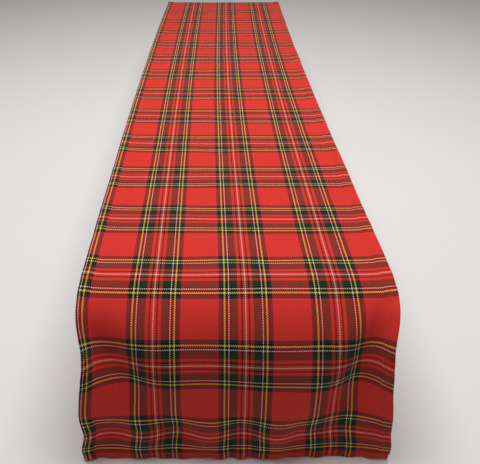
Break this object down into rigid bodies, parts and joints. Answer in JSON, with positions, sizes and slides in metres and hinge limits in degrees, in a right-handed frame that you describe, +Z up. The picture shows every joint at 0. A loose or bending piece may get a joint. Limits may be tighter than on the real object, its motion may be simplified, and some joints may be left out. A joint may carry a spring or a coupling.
{
  "type": "table runner",
  "caption": "Long rectangular strip of hemmed tartan cloth that lies along a table, with both ends hanging over the table's ends.",
  "frame": {"origin": "centre of the cloth's underside where it lies on the table top", "axes": "+X across the runner, +Y along its length, +Z up out of its face; the front drop hangs at -Y and the back drop at +Y"},
  "size_m": [0.381, 1.5234, 0.2181],
  "materials": {
    "tartan_cloth": "brushed yarn-dyed 2/2 twill, red tartan with green, navy, black, yellow and white lines, matt with a soft nap",
    "needle_thread": "dark red sewing thread, slight sheen",
    "bobbin_thread": "dark red sewing thread, slight sheen"
  },
  "bodies": {
    "root": {"runner_panel": "tartan_cloth", "left_hem": "tartan_cloth", "right_hem": "tartan_cloth", "front_hem": "tartan_cloth", "back_hem": "tartan_cloth", "left_needle_thread": "needle_thread", "right_needle_thread": "needle_thread", "front_needle_thread": "needle_thread", "back_needle_thread": "needle_thread", "left_bobbin_thread": "bobbin_thread", "right_bobbin_thread": "bobbin_thread", "front_bobbin_thread": "bobbin_thread", "back_bobbin_thread": "bobbin_thread"}
  },
  "joints": []
}
